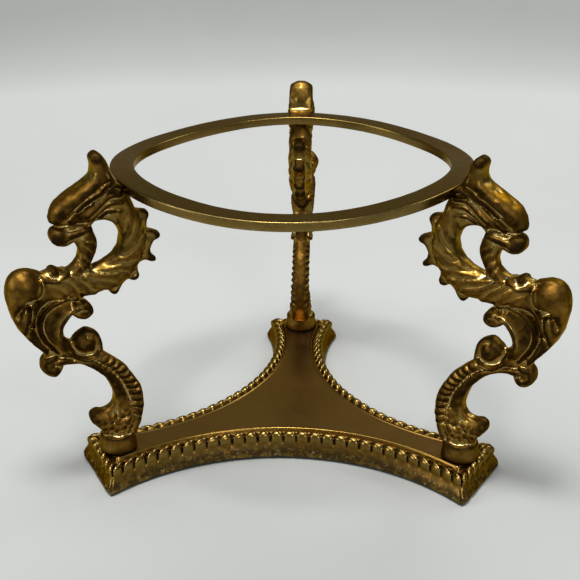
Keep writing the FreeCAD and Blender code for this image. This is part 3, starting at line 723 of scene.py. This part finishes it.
def edge_point(part, share, inset):
    """A point on the plinth's edge, moved in by inset, at a share from 0 to 1 of one of its six parts.

    Parts 0, 2 and 4 are the hollow sides, and 1, 3 and 5 are the ends of the arms.
    """
    turn = 120 * (part // 2)
    radius = SIDE_RADIUS + inset
    end = ARM_REACH - inset
    # the side facing -Y meets the arm ends at azimuths 210 and 330
    normal, along = unit(330), unit(60)
    centre = np.array([0.0, -SIDE_CENTRE])
    # the corner is where the end line, end = p . normal, meets the circle
    offset = end - centre @ normal
    height = math.sqrt(radius ** 2 - offset ** 2)
    corner = centre + offset * normal + height * along
    if part % 2 == 0:
        half = math.atan2(corner[0], corner[1] - centre[1])
        a = half * (2 * share - 1)
        p = centre + radius * np.array([math.sin(a), math.cos(a)])
    else:
        other = end * normal + (end * normal - corner)
        p = corner * (1 - share) + other * share
    c, s = unit(turn)
    return np.array([c * p[0] - s * p[1], s * p[0] + c * p[1]])


# Profile of the rim, from the underside up and in to the deck: inset, height, and how far a gap
# between two gadroons presses it inwards and downwards there.
RIM = [
    (0.35, 0.80, 0, 0), (0.0, 1.15, 0, 0), (0.10, 2.0, 0, 0), (0.45, 3.1, 0, 0), (0.95, 4.3, 0, 0),
    (1.35, 5.3, 0.1, 0), (1.45, 6.0, 0.7, 0), (1.25, 6.8, 1.3, 0.0), (1.2, 7.7, 1.5, 0.3),
    (1.5, 8.6, 1.3, 1.0), (2.1, 9.25, 0.9, 1.8), (2.95, 9.55, 0.4, 2.2), (3.7, 9.3, 0.1, 1.9),
    (4.2, 8.6, 0, 1.1), (4.65, 7.85, 0, 0.15), (5.1, 8.0, 0, 0), (5.45, 8.8, 0, 0), (5.75, 9.25, 0, 0),
    (6.1, 9.25, 0, 0), (6.4, 9.05, 0, 0), (6.9, 9.0, 0, 0),
]
CAVITY_INSET, CAVITY_TOP = 4.2, 5.0
SIDE_GADROONS, END_GADROONS = 29, 6
CORNER_ROUNDS = 45


def gadroon_gap(part, phase):
    """How far between two gadroons a place is, as the share of the rim's press inwards and downwards.

    Phase counts gadroons from the start of the part. Each is cut a little differently.
    """
    depth = 0.75 + 0.4 * draw(int(phase + 0.5), part, 0, 51)
    shift = 0.16 * (draw(int(phase), part, 0, 52) - 0.5)
    # at the middle of a tongue gap is 0, at the cut between two it is 1
    gap = abs((phase % 1.0) - 0.5) * 2
    gap = min(max(gap + shift * (1 - gap), 0.0), 1.0)
    return depth * (1 - (1 - gap ** 2.8) ** (1 / 2.2)), depth * (1 - math.sqrt(1 - gap ** 2.1))


def plinth_skin():
    """The rim's profile swept round the plinth's edge: rows of n vertices, without deck and ceiling."""
    per_gadroon = 14
    columns = []
    for part in range(6):
        n = END_GADROONS if part % 2 else SIDE_GADROONS
        for i in range(n * per_gadroon):
            columns.append((part, i / (n * per_gadroon), i / per_gadroon))
    profile = spline(RIM, 3)
    rows = [(CAVITY_INSET, CAVITY_TOP, 0, 0), (CAVITY_INSET, FELT_TOP, 0, 0)] + [tuple(p) for p in profile]
    vertices = []
    gaps = [gadroon_gap(part, phase) for part, share, phase in columns]
    n = len(columns)
    # near the ends of the arms the loops are relaxed, which rounds their corners off
    sharp = np.array([edge_point(part, share, 0.0) for part, share, phase in columns])
    corners = np.array([edge_point(part, 0.0, 0.0) for part in range(6)])
    from_corner = np.linalg.norm(sharp[:, None] - corners[None], axis=2).min(axis=1)
    soften = (0.5 * ease(5.0, 3.0, from_corner))[:, None]
    for inset, height, press_in, press_down in rows:
        plain = np.array([edge_point(part, share, inset) for part, share, phase in columns])
        loop = plain.copy()
        for i in range(CORNER_ROUNDS):
            loop += soften * ((np.roll(loop, 1, axis=0) + np.roll(loop, -1, axis=0)) / 2 - loop)
        for i, ((part, share, phase), (cut, dip)) in enumerate(zip(columns, gaps)):
            p = loop[i] + edge_point(part, share, inset + press_in * cut) - plain[i]
            vertices.append((p[0], p[1], height - press_down * dip))
    return np.array(vertices), n, len(rows)


def build_plinth():
    """The plinth, with its band of pits and lumps below the gadroons, closed by the deck and the ceiling."""
    vertices, n, rows = plinth_skin()
    quads = sweep_quads(rows, n)
    height = vertices[:, 2]
    pits = 0.13 * noise(vertices, 1.3, 3) + 0.09 * noise(vertices, 0.7, 4)
    low = 0.25 + ease(5.2, 2.4, height)
    low *= ease(FELT_TOP, 1.2, height) * ease(8.6, 7.8, height)
    patches = ease(-0.3, 0.4, noise(vertices, 9.0, 5))
    centre = vertices.copy()
    centre[:, 2] = 0
    outward = centre / np.maximum(np.linalg.norm(centre, axis=1), 1)[:, None]
    moved = vertices + outward * (pits * low * (0.35 + 1.2 * patches))[:, None]
    moved[:2 * n] = vertices[:2 * n]
    faces = [tuple(q) for q in quads]
    faces.append(tuple(range((rows - 1) * n, rows * n)))
    faces.append(tuple(range(n - 1, -1, -1)))
    mesh = new_mesh("base_plate_sculpted", moved, faces)
    for flat_face in (-1, -2):
        mesh.polygons[flat_face].use_smooth = False
    add_hollow_map(mesh, quads, moved, ((2, 1.2), (6, 1.0)))
    return mesh


# ---- ring

def build_ring():
    """A flat ring of rectangular section with softened edges and a faint unevenness from its casting."""
    bevel, longest = 0.45, 0.8
    outer, inner = RING_OUTER - bevel, RING_INNER + bevel
    upper, lower = RING_TOP - bevel, RING_BOTTOM + bevel
    section = []
    for start, *centre in ((0, outer, upper), (90, inner, upper), (180, inner, lower), (270, outer, lower)):
        for a in np.linspace(start, start + 90, 6):
            section.append(tuple(centre + bevel * unit(a)))
    dense = []
    for (r0, z0), (r1, z1) in zip(section, section[1:] + section[:1]):
        steps = max(1, int(math.hypot(r1 - r0, z1 - z0) / longest))
        for i in range(steps):
            t = i / steps
            dense.append((r0 + (r1 - r0) * t, z0 + (z1 - z0) * t))
    around, m = 400, len(dense)
    angles = np.linspace(0, 2 * math.pi, around, endpoint=False)
    r, z = np.array(dense).T
    vertices = np.stack([
        np.outer(np.cos(angles), r), np.outer(np.sin(angles), r), np.tile(z, (around, 1)),
    ], 2).reshape(-1, 3)
    # the ring rises over the three legs and sags between them
    wave = RING_WAVE * np.cos(3 * (angles - math.pi / 2))
    vertices[:, 2] += np.repeat(wave, m)
    vertices[:, 2] += 0.08 * noise(vertices, 14.0, 11) + 0.025 * noise(vertices, 3.0, 12)
    faces = sweep_quads(around, m, closed=True)[:, [0, 3, 2, 1]]
    mesh = new_mesh("top_ring_cast", vertices, faces)
    add_hollow_map(mesh, faces, vertices, ((2, 1.5), (4, 1.0)))
    return mesh


# ---- materials

class Nodes:
    """A short way to build a node tree."""

    def __init__(self, name):
        self.material = bpy.data.materials.new(name)
        self.material.use_nodes = True
        self.tree = self.material.node_tree
        self.tree.nodes.clear()
        self.output = self.add("ShaderNodeOutputMaterial")
        self.shader = self.add("ShaderNodeBsdfPrincipled")
        self.link(self.shader.outputs[0], self.output.inputs[0])

    def add(self, kind, **settings):
        """Adds a node. A setting in_Name is the value of an input, and any other is the node's own."""
        node = self.tree.nodes.new(kind)
        for key, value in settings.items():
            if key.startswith("in_"):
                node.inputs[key[3:].replace("_", " ")].default_value = value
            else:
                setattr(node, key, value)
        return node

    def link(self, a, b):
        self.tree.links.new(a, b)

    def feed(self, socket, value):
        """Links an output to a socket, or sets the socket to a number or a colour."""
        if isinstance(value, (int, float)):
            socket.default_value = value
        elif isinstance(value, tuple):
            socket.default_value = (*value, 1)
        else:
            self.link(value, socket)

    def surface(self, **looks):
        """Feeds inputs of the surface, such as Base_Color."""
        for name, value in looks.items():
            self.feed(self.shader.inputs[name.replace("_", " ")], value)

    def noise(self, scale, detail=4.0, roughness=0.6):
        """Noise in the piece's own frame, with scale features to the metre."""
        coordinates = self.add("ShaderNodeTexCoord")
        node = self.add("ShaderNodeTexNoise", in_Scale=scale, in_Detail=detail, in_Roughness=roughness)
        self.link(coordinates.outputs["Object"], node.inputs["Vector"])
        return node.outputs["Fac"]

    def ramp(self, source, *stops):
        """Turns a value into a colour through stops of (value, colour)."""
        node = self.add("ShaderNodeValToRGB")
        elements = node.color_ramp.elements
        while len(elements) < len(stops):
            elements.new(0.5)
        for element, (position, colour) in zip(elements, stops):
            element.position = position
            element.color = (*colour, 1)
        self.link(source, node.inputs["Fac"])
        return node.outputs["Color"]

    def fade(self, source, low, high, start=0.0, end=1.0):
        """A grey that goes from start, where source is low, to end, where it is high."""
        return self.ramp(source, (low, grey(start)), (high, grey(end)))

    def math(self, operation, *values):
        """A sum or product of numbers and outputs."""
        node = self.add("ShaderNodeMath", operation=operation)
        for socket, value in zip(node.inputs, values):
            self.feed(socket, value)
        return node.outputs[0]

    def mix(self, factor, a, b, blend="MIX"):
        """From colour a, at factor 0, to colour b."""
        node = self.add("ShaderNodeMix", data_type="RGBA", blend_type=blend)
        for i, value in ((0, factor), (6, a), (7, b)):
            self.feed(node.inputs[i], value)
        return node.outputs[2]

    def bump(self, height, strength, distance):
        """Lets height, at distance metres for each unit, shade the surface."""
        node = self.add("ShaderNodeBump", in_Strength=strength, in_Distance=distance)
        self.link(height, node.inputs["Height"])
        self.link(node.outputs[0], self.shader.inputs["Normal"])


def grey(value):
    """A colour without hue."""
    return (value, value, value)


def crust(n, coloured, top):
    """Dulls colour with brown specks and small glints, in a band that fades in below the height top."""
    xyz = n.add("ShaderNodeSeparateXYZ")
    n.link(n.add("ShaderNodeTexCoord").outputs["Object"], xyz.inputs[0])
    band = n.add("ShaderNodeMapRange", clamp=True)
    band.inputs[1].default_value = top
    band.inputs[2].default_value = top * 0.45
    n.link(xyz.outputs[2], band.inputs[0])
    specks = n.fade(n.noise(420.0, 6.0, 0.75), 0.44, 0.52)
    glints = n.fade(n.noise(800.0, 4.0, 0.7), 0.60, 0.66)
    for marks, strength, colour in ((specks, 0.85, (0.045, 0.030, 0.014)), (glints, 0.7, (0.52, 0.40, 0.20))):
        share = n.math("MULTIPLY", n.math("MULTIPLY", marks, band.outputs[0]), strength)
        coloured = n.mix(share, coloured, colour)
    return coloured


def old_brass(name, mid, dark, highlight_and_wear, top_highlight_and_wear=0.0, up_tint=0.0, up_colour=None, crust_top=0.0,
              edge_tint=(0.80, 0.60, 0.32)):
    """Cast brass with brown patina and painted shade in the hollows, and painted highlights, partly worn
    metal, on the high spots.

    top_highlight_and_wear is how far high spots that face upward get a painted highlight with rubbed wear,
    up_tint is the share of up_colour on flat tops, crust_top is the top of a dull band, and edge_tint is the
    tint at a grazing angle.
    """
    n = Nodes(name)
    hollow = n.add("ShaderNodeAttribute", attribute_name="hollow").outputs["Fac"]
    blotch = n.noise(90.0, 5.0)
    fine = n.noise(900.0, 3.0)
    grain = n.noise(2600.0, 2.0)
    jitter = n.math("MULTIPLY", n.math("SUBTRACT", fine, 0.5), 0.25)
    depth = n.math("ADD", n.math("MULTIPLY_ADD", hollow, 1.4, 0.5), jitter)
    base = n.mix(n.fade(blotch, 0.35, 0.7), mid, tuple(0.78 * c for c in mid))
    warm = (0.84 * mid[0], 0.66 * mid[1], 0.45 * mid[2])
    stain = n.math("ADD", depth, n.math("MULTIPLY", n.math("SUBTRACT", n.noise(55.0, 4.0), 0.5), 0.9))
    coloured = n.mix(n.fade(stain, 0.38, 0.68), base, warm)
    # patina and painted shade: the dark colour fills the hollows and pressed lines
    coloured = n.mix(n.fade(depth, 0.52, 0.92), coloured, dark)
    # painted highlight, partly worn metal: high spots take a lighter metal colour
    coloured = n.mix(n.fade(depth, 0.05, 0.36, 0.65, 0.0), coloured, highlight_and_wear)
    split = n.add("ShaderNodeSeparateXYZ")
    n.link(n.add("ShaderNodeNewGeometry").outputs["Normal"], split.inputs[0])
    # painted highlight on high spots that face upward towards the lamps, partly rubbed wear
    if top_highlight_and_wear:
        lit_and_rubbed_tops = n.math("MULTIPLY", n.fade(split.outputs[2], 0.35, 0.8, 0.0, top_highlight_and_wear),
                        n.fade(depth, 0.40, 0.52, 1.0, 0.0))
        coloured = n.mix(lit_and_rubbed_tops, coloured, highlight_and_wear)
    if up_tint:
        upward = n.fade(split.outputs[2], 0.8, 0.98, 0.0, up_tint)
        coloured = n.mix(upward, coloured, up_colour)
    if crust_top:
        coloured = crust(n, coloured, crust_top)
    rough = n.math("MULTIPLY_ADD", n.fade(depth, 0.40, 0.90), 0.36, 0.15)
    rough = n.math("ADD", rough, n.math("MULTIPLY", blotch, 0.16))
    n.surface(Base_Color=coloured, Roughness=rough, Metallic=1.0, Specular_Tint=edge_tint)
    n.bump(n.math("ADD", fine, n.math("MULTIPLY", grain, 0.4)), 0.35, 0.00012)
    return n.material


def plain_steel():
    """Brushed steel, for the screws and washers."""
    n = Nodes("steel")
    streak = n.noise(700.0, 3.0)
    colour = n.ramp(streak, (0.3, (0.42, 0.42, 0.43)), (0.7, (0.62, 0.62, 0.63)))
    n.surface(Base_Color=colour, Roughness=n.fade(streak, 0.3, 0.7, 0.28, 0.45), Metallic=1.0)
    n.bump(streak, 0.2, 0.0001)
    return n.material


def felt():
    """Dark green felt."""
    n = Nodes("felt")
    fibre = n.noise(1800.0, 6.0, 0.8)
    colour = n.ramp(fibre, (0.3, (0.008, 0.012, 0.010)), (0.7, (0.03, 0.045, 0.035)))
    n.surface(Base_Color=colour, Roughness=0.95, Sheen_Weight=0.3)
    n.bump(fibre, 0.9, 0.0004)
    return n.material


leg_brass = old_brass(
    "leg_brass", (0.222, 0.142, 0.031), (0.024, 0.014, 0.004), (0.45, 0.34, 0.14), top_highlight_and_wear=0.75,
)
plinth_brass = old_brass(
    "plinth_brass", (0.215, 0.136, 0.030), (0.022, 0.013, 0.004), (0.23, 0.16, 0.056),
    up_tint=0.95, up_colour=(0.232, 0.136, 0.048), crust_top=0.0066, edge_tint=(0.55, 0.42, 0.24),
)
# the ring's flat tops take a darker, greyer up_colour: a painted reflection of the dim room
ring_brass = old_brass(
    "ring_brass", (0.185, 0.124, 0.034), (0.030, 0.018, 0.006), (0.60, 0.46, 0.20),
    up_tint=0.8, up_colour=(0.118, 0.083, 0.041), edge_tint=(0.68, 0.56, 0.40),
)
dowel_brass = old_brass("dowel_brass", (0.42, 0.28, 0.09), (0.05, 0.03, 0.01), (0.75, 0.55, 0.25))
steel = plain_steel()
felt_material = felt()


def add_object(name, data):
    """A new object in the scene."""
    item = bpy.data.objects.new(name, data)
    bpy.context.scene.collection.objects.link(item)
    return item


def place(name, mesh, material, node, azimuth=0.0):
    """Puts a visual piece into the scene in place of a CAD node."""
    piece = add_object(name, mesh)
    if not mesh.materials:
        mesh.materials.append(material)
    piece.matrix_world = Matrix.Rotation(math.radians(azimuth), 4, "Z")
    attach(piece, "root")
    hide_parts(node)


leg_mesh = build_leg()
for leg_name, azimuth in LEG_AZIMUTHS.items():
    place(leg_name + "_sculpted", leg_mesh, leg_brass, leg_name, azimuth)
place("base_plate_sculpted", build_plinth(), plinth_brass, "base_plate")
place("top_ring_cast", build_ring(), ring_brass, "top_ring")
for node_name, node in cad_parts.items():
    if node_name == "base_felt":
        look = felt_material
    elif node_name.startswith("ring_dowel"):
        look = dowel_brass
    else:
        look = steel
    node.data.materials.clear()
    node.data.materials.append(look)


# ---- stage, light and camera

def build_stage():
    """A pale table that curves up into a wall behind."""
    width, front, back, height, bend = 9000.0, -14000.0, 750.0, 2200.0, 550.0
    profile = [(front, 0.0), (back - bend, 0.0)]
    for a in np.linspace(0, 90, 16)[1:]:
        level, rise = unit(a)
        profile.append((back - bend + bend * rise, bend * (1 - level)))
    profile.append((back, height))
    vertices = [(x, y, z) for x in (-width, width) for y, z in profile]
    count = len(profile)
    faces = [(i, count + i, count + i + 1, i + 1) for i in range(count - 1)]
    mesh = new_mesh("table", vertices, faces)
    mesh.materials.append(table_paper())
    add_object("table", mesh)


def table_paper():
    """Pale grey paper with a painted shadow close under the stand and painted shade that darkens it far away
    from it.
    """
    n = Nodes("table_paper")
    paper = n.ramp(n.noise(6.0, 3.0), (0.3, (0.418, 0.431, 0.422)), (0.7, (0.436, 0.449, 0.440)))
    squeezed = n.add("ShaderNodeVectorMath", operation="MULTIPLY")
    squeezed.inputs[1].default_value = (0.6, 1, 1)
    n.link(n.add("ShaderNodeTexCoord").outputs["Object"], squeezed.inputs[0])
    distance = n.add("ShaderNodeVectorMath", operation="DISTANCE")
    distance.inputs[1].default_value = (0, -0.10, 0)
    n.link(squeezed.outputs[0], distance.inputs[0])
    # painted shadow near the stand, then painted shade that darkens the paper far away
    stops = [(0.0, 0.77), (0.12, 0.93), (0.22, 1.0), (0.50, 1.0), (0.53, 0.82), (0.565, 0.67), (0.595, 0.60),
             (0.9, 0.48)]
    painted_shadow_and_fall_off = n.ramp(distance.outputs["Value"], *[(away, grey(value)) for away, value in stops])
    n.surface(Base_Color=n.mix(1.0, paper, painted_shadow_and_fall_off, "MULTIPLY"), Roughness=0.7)
    return n.material


def area_light(name, location, target, size, power, colour=(1, 1, 1)):
    """A rectangular light that faces target."""
    data = bpy.data.lights.new(name, "AREA")
    data.shape = "RECTANGLE"
    data.size, data.size_y = size
    data.energy = power
    data.color = colour
    light = add_object(name, data)
    light.location = location
    light.rotation_euler = (Vector(target) - Vector(location)).to_track_quat("-Z", "Y").to_euler()


def build_camera():
    """In front of one hollow side, looking down at 23 degrees."""
    position, sensor, lens = Vector((17.8, -346.1, 201.5)) * MM, 36.0, 67.0345
    elevation, yaw, roll = math.radians(23.09), math.radians(3.1), math.radians(-0.16)
    level = math.cos(elevation)
    back = Vector((math.sin(yaw) * level, -math.cos(yaw) * level, math.sin(elevation)))
    right = Vector((math.cos(yaw), math.sin(yaw), 0))
    up = back.cross(right)
    right, up = right * math.cos(roll) + up * math.sin(roll), up * math.cos(roll) - right * math.sin(roll)
    data = bpy.data.cameras.new("camera")
    data.sensor_width = sensor
    data.lens = lens
    data.clip_start = 0.01
    camera = add_object("camera", data)
    rotation = Matrix((right, up, back)).transposed().to_4x4()
    camera.matrix_world = Matrix.Translation(position) @ rotation
    bpy.context.scene.camera = camera


def build_light():
    """An even grey room with a window, lamps in front and at the side, and one behind."""
    world = bpy.data.worlds.new("room")
    world.use_nodes = True
    background = world.node_tree.nodes["Background"]
    background.inputs["Color"].default_value = (0.86, 0.87, 0.86, 1)
    background.inputs["Strength"].default_value = 0.42
    bpy.context.scene.world = world
    area_light("window", (-0.30, -0.05, 1.05), (0, 0.05, 0.05), (0.8, 0.6), 5.5, (1.0, 0.99, 0.97))
    area_light("front", (0.45, -0.95, 0.75), (0, 0, 0.05), (0.35, 0.35), 3.2, (1.0, 0.98, 0.95))
    area_light("lamp", (-0.06, -0.20, 0.98), (0, 0, 0.06), (0.24, 0.24), 6.5, (1.0, 0.99, 0.98))
    area_light("side", (-0.9, -0.35, 0.45), (0, 0, 0.06), (0.3, 0.5), 2.6)
    area_light("back", (0.5, 0.45, 0.7), (0, 0, 0.05), (0.5, 0.3), 2.4)


build_stage()
build_light()
build_camera()
bpy.context.scene.view_settings.view_transform = "Standard"
